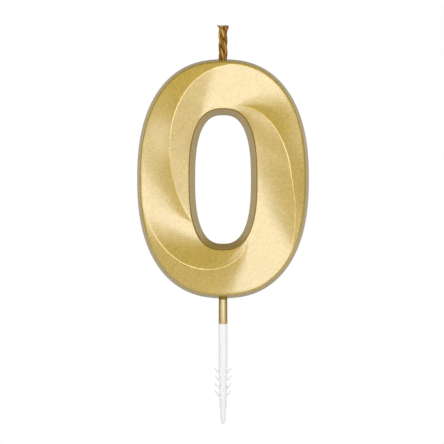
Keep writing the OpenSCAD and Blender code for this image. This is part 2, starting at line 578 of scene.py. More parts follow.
@dataclass(frozen=True)
class GoldLacquer(Finish):
    """Lacquer with gold flake: an even gold body under a white satin gloss.

    Attributes:
        tint: Colour of the body.
        flake: Width of a flake in metres.
        spread: How far a flake's tone lies from the next one's.
        metal: Share of the light that the flake throws back as metal.
        rough: Least roughness of a flake.
        rough_spread: How much rougher the roughest flake is.
        mottle: Depth of the mottle in the skin's tone.
        wave: Length of the waves in the skin, in metres.
        wave_h: Height of those waves in metres.
        flake_h: Height of the flakes' lean in metres.
        slant_shade: Painted shade: share of its tone that the lacquer loses where it is seen at a slant.
        slant: Slants between which it does so, from 0 where it is seen straight to 1.
        painted_shade: Share of its colour that the lacquer gives up for brown as painted shade, where its
            gloss is taken away too.
        shade_rough: How much rougher it is there.
        brown: Colour of that painted shade.
        shade_z: Heights in metres between which the painted shade begins upwards, or None.
        shade_line: Distances past a rim, in millimetres on the piece's map, between which a line of painted
            shade begins and between which it ends, or None.
        crest_highlight: Share of tone that the lacquer gains along a crest, as a painted highlight.
        crest_highlight_line: Distances from a crest, in millimetres on the piece's map, between which that
            painted highlight ends, or None.
    """

    tint: Colour
    flake: float
    spread: float
    metal: float
    rough: float
    wave: float
    wave_h: float
    flake_h: float
    slant_shade: float
    rough_spread: float = 0.12
    mottle: float = 0.12
    slant: tuple[float, float] = (0.04, 0.45)
    painted_shade: float = 0.7
    shade_rough: float = 0.5
    brown: Colour = (0.15, 0.08, 0.012)
    shade_z: tuple[float, float] | None = None
    shade_line: tuple[tuple[float, float], tuple[float, float]] | None = None
    crest_highlight: float = 0.0
    crest_highlight_line: tuple[float, float] | None = None

    def painted_shade_mask(self, wiring: Wiring, source: bpy.types.Node) -> bpy.types.NodeSocket | None:
        """Add the mask of the painted shade.

        Args:
            wiring: The material's wiring.
            source: The material's coordinates.

        Returns:
            The mask's output, or None where the lacquer has no painted shade.
        """
        if self.shade_z:
            height = wiring.add("SeparateXYZ", {"Vector": source.outputs["Object"]}).outputs[2]
            return wiring.ramp(height, *self.shade_z)
        if self.shade_line:
            past = wiring.add("SeparateXYZ", {"Vector": source.outputs["UV"]}).outputs[0]
            begin, end = (wiring.ramp(past, *places) for places in self.shade_line)
            return wiring.math("SUBTRACT", begin, end)
        return None

    def material(self, groups: Groups) -> bpy.types.Material:
        """Build the material.

        Args:
            groups: The shared shader groups.

        Returns:
            The material.
        """
        material, wiring, shader = self.start()
        source = wiring.add("TexCoord")
        place = source.outputs["Object"]
        flake = self.place(wiring, groups.flake, {
            "Vector": place, "Tint": (*self.tint, 1.0), "Size": self.flake, "Spread": self.spread,
            "Rough": self.rough, "Rough spread": self.rough_spread,
        })
        skin = self.place(wiring, groups.skin, {"Vector": place, "Size": self.wave, "Depth": self.mottle})
        # Painted shade: the colour darkens where the surface is seen at a slant.
        slant = wiring.ramp(wiring.add("LayerWeight", {"Blend": 0.5}).outputs["Facing"], *self.slant)
        kept = wiring.rest(wiring.math("MULTIPLY", slant, self.slant_shade))
        tone = wiring.math("MULTIPLY", skin.outputs["Tone"], kept)
        rough = flake.outputs["Roughness"]
        # Painted highlight: the lacquer is lighter along the crests of the ridges.
        if self.crest_highlight_line:
            away = wiring.add("SeparateXYZ", {"Vector": source.outputs["UV"]}).outputs[1]
            on_crest = wiring.rest(wiring.ramp(away, *self.crest_highlight_line))
            gain = wiring.math("ADD", 1.0, wiring.math("MULTIPLY", on_crest, self.crest_highlight))
            tone = wiring.math("MULTIPLY", tone, gain)
        colour = wiring.blend(1.0, flake.outputs["Color"], wiring.grey(tone), "MULTIPLY")
        # Painted shade: where masked, the colour turns brown, rougher and without gloss.
        painted_shade = self.painted_shade_mask(wiring, source)
        if painted_shade:
            lost = wiring.math("MULTIPLY", painted_shade, self.painted_shade)
            colour = wiring.blend(lost, colour, self.brown)
            rough = wiring.math("ADD", rough, wiring.math("MULTIPLY", painted_shade, self.shade_rough))
            gloss = wiring.math("MULTIPLY", wiring.rest(painted_shade), FULL_GLOSS)
            wiring.fill(shader, {"Specular IOR Level": gloss})
        waves = wiring.add("Bump", {"Height": skin.outputs["Height"], "Distance": self.wave_h})
        grain = wiring.add("Bump", {
            "Height": flake.outputs["Height"], "Distance": self.flake_h, "Normal": waves.outputs["Normal"],
        })
        wiring.fill(shader, {
            "Base Color": colour,
            "Metallic": self.metal,
            "Roughness": rough,
            "Normal": grain.outputs["Normal"],
        })
        return material


@dataclass(frozen=True)
class MouldedPlastic(Finish):
    """White moulded plastic with a faint mottle and soft waves.

    Attributes:
        tint: Colour of the plastic.
        shade: Colour that it leans to where the skin is thinner.
        rough: Roughness of the skin.
        wave: Length of the waves in the skin, in metres.
        wave_h: Height of those waves in metres.
    """

    tint: Colour
    shade: Colour
    rough: float
    wave: float
    wave_h: float

    def material(self, groups: Groups) -> bpy.types.Material:
        """Build the material.

        Args:
            groups: The shared shader groups.

        Returns:
            The material.
        """
        material, wiring, shader = self.start()
        place = wiring.add("TexCoord").outputs["Object"]
        skin = self.place(wiring, groups.skin, {"Vector": place, "Size": self.wave, "Depth": 1.0})
        waves = wiring.add("Bump", {"Height": skin.outputs["Height"], "Distance": self.wave_h})
        share = wiring.ramp(skin.outputs["Tone"], *SKIN_TONES)
        wiring.fill(shader, {
            "Base Color": wiring.blend(share, self.shade, self.tint),
            "Roughness": wiring.math("MULTIPLY", skin.outputs["Tone"], self.rough),
            "Normal": waves.outputs["Normal"],
        })
        return material


@dataclass(frozen=True)
class WaxedCotton(Finish):
    """Waxed cotton yarn: golden with a painted highlight on the wick's outside, brown with painted shade
    towards its axis, between its yarns and at its edges, soaked at its foot, pale where cut.

    Attributes:
        crown: Golden colour of the yarn at the wick's outside, brightened there as a painted highlight.
        flank: Darker brown of a strand's sides, with painted shade towards the wick's axis.
        crease: Colour of the painted shade between two yarns and at a strand's edges.
        cut: Colour of the cut end.
        yarns: Yarns round a strand.
        core_r: Distance from the wick's axis, in metres, at which the flank's colour ends.
        outside_r: Distance at which the crown's colour is reached.
        soak_z: Heights in metres between which the soaked foot ends.
        cut_z: Heights in metres between which the cut end's colour begins.
        soaked: Share of the crown's colour that is lost at the soaked foot.
        fibres: Fibres round a strand.
        fibre_turn: How far the fibres' pattern runs along the strand in a millimetre.
        fibre_h: Height of the fibres in metres.
        fibre_tones: Fibre values between which the crown's colour is reached.
        yarn_tones: Drawn values between which a yarn reaches the crown's colour.
        crease_w: Waves round the strand between which the painted shade of the crease is reached.
        slant: Slants between which a strand darkens with painted shade, from 0 where it is seen straight to
            1.
        slant_dark: Share of the crease's painted shade that it takes on there.
        rough: Least roughness of the fibres.
        rough_spread: How much rougher the roughest fibre is.
    """

    crown: Colour
    flank: Colour
    crease: Colour
    cut: Colour
    yarns: int
    core_r: float
    outside_r: float
    soak_z: tuple[float, float]
    cut_z: tuple[float, float]
    soaked: float = 0.7
    fibres: float = 36.0
    fibre_turn: float = 0.6
    fibre_h: float = 0.00002
    fibre_tones: tuple[float, float] = (0.1, 0.5)
    yarn_tones: tuple[float, float] = (-0.1, 1.0)
    crease_w: tuple[float, float] = (-0.3, -1.0)
    slant: tuple[float, float] = (0.2, 0.9)
    slant_dark: float = 0.7
    rough: float = 0.3
    rough_spread: float = 0.2

    def material(self) -> bpy.types.Material:
        """Build the material, whose yarns follow the strand's own map.

        Returns:
            The material.
        """
        material, wiring, shader = self.start()
        source = wiring.add("TexCoord")
        place = source.outputs["Object"]
        chart = wiring.add("SeparateXYZ", {"Vector": source.outputs["UV"]}).outputs
        height = wiring.add("SeparateXYZ", {"Vector": place}).outputs[2]
        stretched = wiring.add("CombineXYZ", {
            0: wiring.math("MULTIPLY", chart[0], self.fibres),
            1: wiring.math("MULTIPLY", chart[1], self.fibre_turn),
        })
        noise = wiring.add("TexNoise", {"Vector": stretched.outputs[0], "Scale": 1.0, "Detail": 2.0})
        fibre = noise.outputs["Fac"]
        yarn = wiring.math("MULTIPLY", chart[0], float(self.yarns))
        wave = wiring.math("COSINE", wiring.math("MULTIPLY", yarn, 2 * math.pi))
        drawn = wiring.add("TexWhiteNoise", {"W": wiring.math("ROUND", yarn)}, noise_dimensions="1D")
        soak = wiring.rest(wiring.ramp(height, *self.soak_z))
        # Painted highlight and shade: golden at the wick's outside, darker brown towards its axis.
        outer = wiring.ramp(wiring.off_axis(place), self.core_r, self.outside_r)
        bright = wiring.math("MULTIPLY", outer, wiring.ramp(fibre, *self.fibre_tones))
        bright = wiring.math("MULTIPLY", bright, wiring.ramp(drawn.outputs["Value"], *self.yarn_tones))
        bright = wiring.math("MULTIPLY", bright, wiring.rest(wiring.math("MULTIPLY", soak, self.soaked)))
        colour = wiring.blend(bright, self.flank, self.crown)
        # Painted shade: darker between the yarns and at a strand's edges seen at a slant.
        slant = wiring.ramp(wiring.add("LayerWeight", {"Blend": 0.5}).outputs["Facing"], *self.slant)
        edge = wiring.math("MULTIPLY", slant, self.slant_dark)
        dark = wiring.math("MAXIMUM", wiring.ramp(wave, *self.crease_w), edge)
        colour = wiring.blend(dark, colour, self.crease)
        open_end = wiring.math("MULTIPLY", wiring.ramp(height, *self.cut_z), wiring.rest(outer))
        wiring.fill(shader, {
            "Base Color": wiring.blend(open_end, colour, self.cut),
            "Roughness": wiring.math("ADD", self.rough, wiring.math("MULTIPLY", fibre, self.rough_spread)),
            "Normal": wiring.add("Bump", {"Height": fibre, "Distance": self.fibre_h}).outputs["Normal"],
        })
        return material


@dataclass(frozen=True)
class Paraffin(Finish):
    """Cast paraffin: ivory, faintly cloudy and softly waved.

    Attributes:
        tint: Colour of clear wax.
        cloud: Colour of cloudy wax.
        rough: Roughness of the skin.
        wave: Length of the waves in the skin, in metres.
        wave_h: Height of those waves in metres.
    """

    tint: Colour
    cloud: Colour
    rough: float
    wave: float
    wave_h: float

    def material(self, groups: Groups) -> bpy.types.Material:
        """Build the material.

        Args:
            groups: The shared shader groups.

        Returns:
            The material.
        """
        material, wiring, shader = self.start()
        place = wiring.add("TexCoord").outputs["Object"]
        skin = self.place(wiring, groups.skin, {"Vector": place, "Size": self.wave, "Depth": 1.0})
        share = wiring.ramp(skin.outputs["Tone"], *SKIN_TONES)
        waves = wiring.add("Bump", {"Height": skin.outputs["Height"], "Distance": self.wave_h})
        wiring.fill(shader, {
            "Base Color": wiring.blend(share, self.tint, self.cloud),
            "Roughness": wiring.math("MULTIPLY", skin.outputs["Tone"], self.rough),
            "Normal": waves.outputs["Normal"],
        })
        return material


def settle(piece: bpy.types.Object, material: bpy.types.Material, body: Body, node: str) -> None:
    """Dress a piece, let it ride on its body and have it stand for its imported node.

    Args:
        piece: The piece.
        material: Its finish.
        body: The body that carries it.
        node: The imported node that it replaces.
    """
    piece.data.materials.clear()
    piece.data.materials.append(material)
    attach(piece, body.value)
    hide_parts(node)
    LOG.info("%s: %d points on %s", piece.name, len(piece.data.vertices), body.value)


@dataclass(frozen=True)
class NumeralCoat:
    """The gold coat of the numeral: two walls and a face on which three ridges wind inwards.

    Angles run counter-clockwise from +X, seen from the front. A section runs from the outer rim at its
    own angle to the rim of the open middle a little further round, so the facets twist as they wind. The
    back is the front turned half a turn about Z.

    Attributes:
        width: Width of the numeral.
        height: Height of the numeral.
        centre_z: Height of its centre above the origin.
        ridge_h: Height of a ridge above the rim, at its middle.
        rim_t: Thickness from the front rim to the back rim.
        hole_w: Width of the open middle where it is narrowest.
        hole_h: Height of the open middle where it is narrowest.
        hole_drop: How far the open middle sits below the numeral's centre.
        outer_draft: How far the outer wall leans in between the middle plane and a rim.
        inner_draft: How far the inner wall leans back between the middle plane and a rim.
        outer_power: Squareness of the outer outline, where 2 is an ellipse.
        hole_power: Squareness of the open middle's outline.
        coat_t: Thickness of the coat.
        section_lean: How much further round a section's inner end is than its outer end, in degrees.
        ridge_first: Angles of the sections in which the ridges leave the outer rim.
        ridge_last: Angles of the sections in which they meet the inner rim.
        ridge_lead: How far each ridge runs ahead of an even path, all along it.
        ridge_sway: How far it does so in its first half, and falls behind in its second.
        ridge_bend: How far it does so in its outer thirds, and falls behind in its middle one.
        ridge_ease: Power that eases each ridge's height at its ends.
        ridge_land: Width of the narrow land along a ridge's crest.
        land_reach: How far the rounding of the land's two edges reaches.
        crest_h: Least height of a ridge whose crest is marked in full on the map.
        outer_r: Radius of the rounding of the outer rim.
        inner_r: Radius of the rounding of the rim of the open middle.
        least_r: Least radius of a rounding on the coat's inside.
        seam_h: Height of the moulding seam round the middle plane.
        seam_w: Half of the seam's width.
        seam_rows: Rows of points over half of the seam.
        crest_rows: Distances from a crest at which the face has rows of points.
        rim_rows: Distances past a rim, in shares of the inner rim's radius, at which a wall has them.
        step: Degrees between the sections of the outside, and of the inside.
        flat_rows: Rows in the flat of a facet or wall, outside and inside.
        drill_sides: Points round a drilled hole.
        sharp_angle: Angle in degrees past which an edge is shaded as a crease.
    """

    width: float
    height: float
    centre_z: float
    ridge_h: float
    rim_t: float = 10.8
    hole_w: float = 16.3
    hole_h: float = 37.6
    hole_drop: float = 0.2
    outer_draft: float = 0.9
    inner_draft: float = 1.7
    outer_power: float = 2.36
    hole_power: float = 2.62
    coat_t: float = 0.4
    section_lean: float = 24.0
    ridge_first: tuple[float, ...] = (81.0, 186.0, 315.0)
    ridge_last: tuple[float, ...] = (189.0, 291.0, 423.0)
    ridge_lead: tuple[float, ...] = (-0.077, -0.093, -0.114)
    ridge_sway: tuple[float, ...] = (0.077, 0.056, 0.0)
    ridge_bend: tuple[float, ...] = (-0.013, -0.024, -0.008)
    ridge_ease: tuple[float, ...] = (1.5, 1.9, 2.4)
    ridge_land: float = 0.36
    land_reach: float = 0.12
    crest_h: float = 0.3
    outer_r: float = 0.78
    inner_r: float = 0.6
    least_r: float = 0.1
    seam_h: float = 0.04
    seam_w: float = 0.25
    seam_rows: int = 4
    crest_rows: tuple[float, ...] = (0, 0.07, 0.12, 0.18, 0.24, 0.3, 0.4, 0.55, 0.7, 0.9)
    rim_rows: tuple[float, ...] = (0, 0.05, 0.1, 0.15, 0.25, 0.4)
    step: tuple[float, float] = (0.6, 3.0)
    flat_rows: tuple[int, int] = (4, 1)
    drill_sides: int = 64
    sharp_angle: float = 50.0

    @classmethod
    def from_frame(cls) -> "NumeralCoat":
        """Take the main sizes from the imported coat, whose drilled ends are rounded back to a tenth.

        Returns:
            The coat.
        """
        low, high = box_mm("gold_coat")
        size = high - low
        return cls(
            width=round(size[0], 2),
            height=round(size[2], 1),
            centre_z=round((low[2] + high[2]) / 2, 2),
            ridge_h=round((size[1] - cls.rim_t) / 2, 2),
        )

    def outlines(self, angle: Array, inset: float, seam: Array | float = 0.0) -> list[Array]:
        """Return the four outlines of some sections: outer middle, outer rim, inner rim, inner middle.

        An outline is a squared oval. The inner two are taken further round by the lean.

        Args:
            angle: Angles in degrees.
            inset: Depth below the coat's outside.
            seam: How far the moulding seam stands out of the outer middle.

        Returns:
            Four arrays of plan points.
        """
        half_w, half_h = self.width / 2 - inset, self.height / 2 - inset
        hole_w, hole_h = self.hole_w / 2 + inset, self.hole_h / 2 + inset
        draft, lean = self.outer_draft, self.inner_draft
        turn, ahead = np.radians(angle), np.radians(angle + self.section_lean)
        drop = [0, self.hole_drop]
        return [
            superellipse(turn, half_w + seam, half_h + seam, self.outer_power),
            superellipse(turn, half_w - draft, half_h - draft, self.outer_power),
            superellipse(ahead, hole_w + lean, hole_h + lean, self.hole_power) - drop,
            superellipse(ahead, hole_w, hole_h, self.hole_power) - drop,
        ]

    def ridge_path(self, ridge: int, angle: Array) -> tuple[Array, Array]:
        """Return a ridge's share of the way across the face, and its height, at angles that may pass 360.

        With u from 0 at its first angle to 1 at its last, the share is u plus the lead, the sway and the
        bend times the sines of half a turn, a whole turn and one and a half turns of u. The height is a
        power of the first sine.

        Args:
            ridge: Number of the ridge, which goes on past the last for the next time round.
            angle: Angles in degrees.

        Returns:
            Shares, 0 before the ridge and 1 after it, and heights.
        """
        count = len(self.ridge_first)
        k, turn = ridge % count, 360 * (ridge // count)
        first, last = self.ridge_first[k] + turn, self.ridge_last[k] + turn
        u = np.clip((angle - first) / (last - first), 0, 1)
        waves = (self.ridge_lead[k], self.ridge_sway[k], self.ridge_bend[k])
        share = u + sum(size * np.sin(n * np.pi * u) for n, size in enumerate(waves, 1))
        return share, self.ridge_h * np.clip(np.sin(np.pi * u), 0, 1) ** self.ridge_ease[k]

    @staticmethod
    def fillet(past: Array, slope: Array, radius: float) -> Array:
        """Return how far a wall and the rounding of its rim drop below the face.

        With the slope of the wall against the face, a circle of the radius touches both. The drop is 0 on
        the face, the radius less the circle's height over the rounding, and the wall's drop after.

        Args:
            past: Distances past the rim, on from the face to the wall.
            slope: Slope of the wall against the face, a column.
            radius: Radius of the rounding.

        Returns:
            Drops, in the shape of past.
        """
        root = np.sqrt(1 + slope ** 2)
        away = past + radius * (root - 1) / slope
        end = radius * slope / root
        round_drop = radius - np.sqrt(radius ** 2 - np.clip(away, 0, end) ** 2)
        return np.where(away < end, round_drop, slope * past)

    def corners(self, angle: Array, width: Array) -> tuple[Array, Array]:
        """Return where the rims and the ridges between them lie in some sections, and how high.

        Args:
            angle: Angles of the sections.
            width: Distance from rim to rim, a column.

        Returns:
            Distances from the outer rim in rising order and heights above it, a row for each section.
        """
        firsts = enumerate(self.ridge_first)
        paths = np.array([self.ridge_path(k, (angle - first) % 360 + first) for k, first in firsts])
        share, height = paths.transpose(1, 2, 0)
        order = np.argsort(share, axis=-1)
        zero = np.zeros_like(width)
        corner = np.hstack([zero, np.take_along_axis(share, order, -1) * width, width])
        return corner, np.hstack([zero, np.take_along_axis(height, order, -1), zero])

    def crest(self, angle: Array, x: Array, width: Array) -> Array:
        """Return how far some points lie from a crest, and further where the ridge is low.

        Args:
            angle: Angles of the sections.
            x: Distances from the outer rim, a row for each section.
            width: Distance from rim to rim, a column.

        Returns:
            The distance to the nearest ridge plus what its height lacks of the least, in the shape of x.
        """
        corner, rise = self.corners(angle, width)
        lack = np.clip(self.crest_h - rise[:, 1:-1], 0, None)
        return (np.abs(x[..., None] - corner[:, None, 1:-1]) + lack[:, None]).min(axis=-1)

    def depth(self, angle: Array, x: Array, width: Array, inset: float) -> Array:
        """Return how far the front stands out of the middle plane.

        A section is a chain of straight facets between rims and ridges, with a wall at either end. The
        depth is the first facet's slope times the distance, plus at either edge of each ridge's land the
        change of slope there times an eased hinge, less the drops of the two walls with their fillets. A
        land is level where the facets beside it fall both ways. The hinge is 0 before the edge, the
        distance past it after, and a parabola within the reach.

        Args:
            angle: Angles of the sections.
            x: Distances from the outer rim, a row for each section.
            width: Distance from rim to rim, a column.
            inset: Depth below the coat's outside.

        Returns:
            Depths, in the shape of x.
        """
        reach, rim = self.land_reach, self.rim_t / 2 - inset
        corner, rise = self.corners(angle, width)
        span = np.diff(corner, axis=1)
        slope = np.diff(rise, axis=1) / np.maximum(span, 1e-9)
        first = before = slope[:, :1]
        total = rim + before * x
        for j in range(len(self.ridge_first)):
            after = np.where(span[:, j + 1:j + 2] > 1e-6, slope[:, j + 1:j + 2], before)
            land = np.clip(0, np.minimum(before, after), np.maximum(before, after))
            for change, edge in ((land - before, -self.ridge_land / 2), (after - land, self.ridge_land / 2)):
                past = x - corner[:, j + 1:j + 2] - edge
                hinge = np.where(np.abs(past) < reach, (past + reach) ** 2 / (4 * reach), np.maximum(past, 0))
                total = total + change * hinge
            before = after
        outer_r, inner_r = (max(radius - inset, self.least_r) for radius in (self.outer_r, self.inner_r))
        total = total - self.fillet(-x, rim / self.outer_draft - first, outer_r)
        return total - self.fillet(x - width, rim / self.inner_draft + before, inner_r)

    def strip(self, angle: Array, x: Array, inset: float) -> Patch:
        """Return the strip of the front over some sections and distances.

        In plan a point moves straight from the outer rim to the inner rim, and past a rim on to the middle
        plane's outline. Its depth stands towards -Y.

        Args:
            angle: Angles of the sections in degrees.
            x: Distances from the outer rim, a row for each section.
            inset: Depth below the coat's outside.

        Returns:
            The strip, mapped by its distances past the inner rim and from the nearest crest.
        """
        outlines = self.outlines(angle, inset)
        width = np.linalg.norm(outlines[2] - outlines[1], axis=-1)[:, None]
        depth = self.depth(angle, x, width, inset)
        bead = np.clip(1 - (depth / self.seam_w) ** 2, 0, 1) ** 2 * (self.seam_h if inset == 0 else 0)
        seam = self.outlines(angle[:, None], inset, bead)[0]
        outer, rim, inner, middle = seam, *(o[:, None] for o in outlines[1:])
        a = np.clip(-x / self.outer_draft, 0, 1)[..., None]
        b = np.clip(x / width, 0, 1)[..., None]
        c = np.clip((x - width) / self.inner_draft, 0, 1)[..., None]
        plan = rim + (outer - rim) * a + (inner - rim) * b + (middle - inner) * c
        points = np.stack([plan[..., 0], -depth, plan[..., 1] + self.centre_z], -1)
        chart = np.stack([x - width, self.crest(angle, x, width)], -1)
        return Patch.grid(points.transpose(1, 0, 2), chart.transpose(1, 0, 2))

    def front(self, step: float, middle_rows: int, inset: float) -> Patch:
        """Return the front half: two wall strips and a ribbon between each ridge and the next.

        Args:
            step: Degrees between sections.
            middle_rows: Rows in the flat of a ribbon or wall.
            inset: Depth below the coat's outside.

        Returns:
            The front half.
        """
        reach = np.array(self.crest_rows)
        edge = self.inner_r * np.array(self.rim_rows)
        flat = np.linspace(0, 1, middle_rows + 2)[1:-1]
        whole = np.arange(0, 360 + step / 2, step)
        slope = self.rim_t / 2 / self.outer_draft
        foot = self.seam_w / slope * np.linspace(0, 1, self.seam_rows)
        outer = np.concatenate([
            foot - self.outer_draft,
            (foot[-1] - self.outer_draft) + (self.outer_draft - foot[-1] - edge[-1]) * flat,
            -edge[::-1],
        ])
        inner = np.concatenate([edge, edge[-1] + (self.inner_draft - edge[-1]) * flat, [self.inner_draft]])

        def rim_width(angle: Array) -> Array:
            """Return the distance from rim to rim at some angles, as a column."""
            outlines = self.outlines(angle, inset)
            return np.linalg.norm(outlines[2] - outlines[1], axis=-1)[:, None]

        patches = [
            self.strip(whole, np.broadcast_to(outer, (len(whole), len(outer))), inset),
            self.strip(whole, rim_width(whole) + inner, inset),
        ]
        count = len(self.ridge_first)
        for k in range(count):
            last = self.ridge_last[(k + 1) % count] + 360 * ((k + 1) // count)
            angle = np.arange(self.ridge_first[k], last + step / 2, step)
            width = rim_width(angle)
            start = self.ridge_path(k + 1, angle)[0][:, None] * width
            span = self.ridge_path(k, angle)[0][:, None] * width - start
            low = np.minimum(reach, span * np.linspace(0, 1 / 3, len(reach)))
            high = span - low[:, ::-1]
            middle = low[:, -1:] + (high[:, :1] - low[:, -1:]) * flat
            patches.append(self.strip(angle, start + np.hstack([low, middle, high]), inset))
        return Patch.joined(patches)

    def closed(self, step: float, middle_rows: int, inset: float) -> Patch:
        """Return the whole form, front and back, taken in by the inset."""
        front = self.front(step, middle_rows, inset)
        return Patch.joined([front, front.turned_half()]).welded()

    def build(self, holes: list[tuple[float, float, float]]) -> bpy.types.Object:
        """Build the coat as a shell with an outside and an inside, and drill it.

        Args:
            holes: Radius, lowest and highest point of each round hole on the axis.

        Returns:
            The coat.
        """
        outside = self.closed(self.step[0], self.flat_rows[0], 0.0)
        inside = self.closed(self.step[1], self.flat_rows[1], self.coat_t).inside_out()
        coat = Patch.joined([outside, inside]).piece("numeral_coat", self.sharp_angle)
        for radius, low, high in holes:
            outline = np.array([[0, low], [radius, low], [radius, high], [0, high]])
            join_solid(coat, lathe(outline, self.drill_sides).piece("drill"), Join.CUT, self.sharp_angle)
        return coat

    def dress(self, coat: bpy.types.Object, groups: Groups) -> None:
        """Give the built coat its lacquer, its body and its node."""
        settle(coat, GOLD_COAT.material(groups), Body.CANDLE, "gold_coat")


@dataclass(frozen=True)
class WickStrand:
    """One of the wick's three strands: yarns in a bundle that winds left-handed round the axis.

    Attributes:
        number: Number of the strand, from 1.
        low_z: Height of its foot in the wax.
        high_z: Height of its cut end.
        diameter: Diameter over the three strands.
        gap: Distance between neighbouring strands.
        foot_gap: Distance of the foot from the channel's end.
        lay: Length in which a strand goes once round.
        splay: How far a strand leans out at its cut end.
        splay_l: Length over which it does so.
        press: How far a strand is pressed from a circle towards its third of the wick's round.
        third_power: Sharpness of that third's corners.
        yarns: Yarns round a strand.
        yarn_dip: Share of the radius that is lost between two yarns.
        yarn_turn: Length in which the yarns go once round the strand, the other way.
        sides: Points round a strand for each yarn.
        ring_l: Distance between rings.
        slub: Share of the radius that swings along the strand.
        slub_turn: Radians of that swing for each millimetre.
        cap: Share of the strand's length in which an end rounds off.
        cut_gap: Distance of the body's top below the cut end.
        loose_l: Length of the yarns' loose ends.
        loose_at: Angles of the loose ends from the way out, in radians.
        loose_over: Least and greatest height of a loose end above the cut.
        loose_seat: Share of the radius at which a loose end leaves the strand.
        loose_out: Least and greatest bend of a loose end.
        loose_r: Radius of a loose end at its foot.
        loose_thin: How much of that it loses.
        loose_cap: Share of its length in which either end rounds off.
        loose_grid: Rows and sides of its surface.
        hairs: Number of loose fibres.
        hair_foot: Greatest and least depth of a fibre's foot below the cut end.
        hair_l: Least and greatest length of a fibre.
        hair_seat: Share of the radius at which a fibre leaves the strand.
        hair_out: Least and greatest bend of a fibre.
        hair_r: Radius of a fibre at its foot.
        hair_thin: How much of that it loses.
        hair_cap: Share of its length in which either end rounds off.
        hair_power: Power of its length by which it bends out.
        hair_grid: Rows and sides of its surface.
        channel_gap: Distance between the strands and their channel in the numeral.
        sharp_angle: Angle in degrees past which an edge is shaded as a crease.
    """

    number: int
    low_z: float
    high_z: float
    diameter: float = 2.68
    gap: float = 0.03
    foot_gap: float = 0.05
    lay: float = 10.4
    splay: float = 0.22
    splay_l: float = 2.0
    press: float = 0.6
    third_power: int = 8
    yarns: int = 5
    yarn_dip: float = 0.08
    yarn_turn: float = 18.0
    sides: int = 10
    ring_l: float = 0.12
    slub: float = 0.015
    slub_turn: float = 2.3
    cap: float = 0.012
    cut_gap: float = 0.1
    loose_l: float = 1.3
    loose_at: tuple[float, ...] = (-0.9, 0.0, 0.9)
    loose_over: tuple[float, float] = (0.0, 0.3)
    loose_seat: float = 0.72
    loose_out: tuple[float, float] = (0.15, 0.5)
    loose_r: float = 0.32
    loose_thin: float = 0.1
    loose_cap: float = 0.12
    loose_grid: tuple[int, int] = (14, 10)
    hairs: int = 5
    hair_foot: tuple[float, float] = (9.0, 0.4)
    hair_l: tuple[float, float] = (0.5, 1.1)
    hair_seat: float = 0.85
    hair_out: tuple[float, float] = (0.1, 0.35)
    hair_r: float = 0.035
    hair_thin: float = 0.02
    hair_cap: float = 0.15
    hair_power: float = 1.5
    hair_grid: tuple[int, int] = (8, 5)
    channel_gap: float = 0.05
    sharp_angle: float = 80.0

    @classmethod
    def from_frame(cls, number: int) -> "WickStrand":
        """Take the strand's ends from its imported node."""
        low, high = box_mm(f"wick_strand_{number}")
        return cls(number, low[2], high[2])

    @property
    def orbit(self) -> float:
        """Distance of a strand's centre from the axis, for three circles that just clear each other."""
        return (self.diameter + self.gap) / 2 / (1 + math.sin(math.pi / 3))

    @property
    def radius(self) -> float:
        """Radius of a strand."""
        return self.orbit * math.sin(math.pi / 3) - self.gap / 2

    def way_out(self, z: Array) -> Array:
        """Return the angle at which the strand lies from the axis."""
        return 2 * math.pi * ((self.number - 1) / 3 - (z - self.low_z + self.foot_gap) / self.lay)

    def centre(self, z: Array) -> Array:
        """Return the strand's centre line: a spiral whose orbit grows by a square towards the cut end.

        Args:
            z: Heights.

        Returns:
            Points of three.
        """
        out = np.clip((z - self.high_z + self.splay_l) / self.splay_l, 0, None)
        orbit = self.orbit + self.splay * out ** 2
        angle = self.way_out(z)
        return np.stack([orbit * np.cos(angle), orbit * np.sin(angle), z], -1)

    def yarn_angle(self, z: Array) -> Array:
        """Return the angle of the first yarn about the strand's centre."""
        return 2 * math.pi * (z - self.low_z) / self.yarn_turn

    def section(self, turn: Array) -> Array:
        """Return the strand's radius at angles from the way out: a circle, pressed towards its third.

        The third ends at the wick's round and at two planes. Its radius is the distance to these three
        bounds, of which the inverses are joined by a root of the sum of their powers.

        Args:
            turn: Angles in radians.

        Returns:
            Radii, in the shape of turn.
        """
        whole = self.orbit + self.radius
        bounds = [1 / (np.sqrt(whole ** 2 - (self.orbit * np.sin(turn)) ** 2) - self.orbit * np.cos(turn))]
        bounds += [np.clip(np.sin(side * turn - math.pi / 3), 0, None) / self.radius for side in (1, -1)]
        third = sum(bound ** self.third_power for bound in bounds) ** (-1 / self.third_power)
        return self.radius + self.press * (third - self.radius)

    def bundle(self, top: float) -> Patch:
        """Return the strand's body up to a height.

        A ring's radius is that of the pressed section, less a cosine dip between one yarn and the next and
        a slow swing along the strand.

        Args:
            top: Height at which the body ends.

        Returns:
            The closed body, mapped by its share round from the first yarn and by height.
        """
        rows = int((top - self.low_z) / self.ring_l)
        z = np.linspace(self.low_z, top, rows)
        sides = self.yarns * self.sides
        turn = ring_angles(sides)
        around = turn + self.yarn_angle(z)[:, None]
        dip = 1 - self.yarn_dip * (1 - np.cos(self.yarns * turn)) / 2
        slub = 1 + self.slub * (np.sin(z[:, None] * self.slub_turn + 3 * turn + self.number) - 1)
        cap = rounded_radius((z - z[0]) / (z[-1] - z[0]), np.ones(rows), self.cap)
        radius = self.section(around - self.way_out(z)[:, None]) * dip * slub * cap[:, None]
        ring = np.stack([radius * np.cos(around), radius * np.sin(around), np.zeros_like(around)], -1)
        return Patch.grid(self.centre(z)[:, None] + ring, tube_chart(z, sides), closed=True).welded(1e-6)

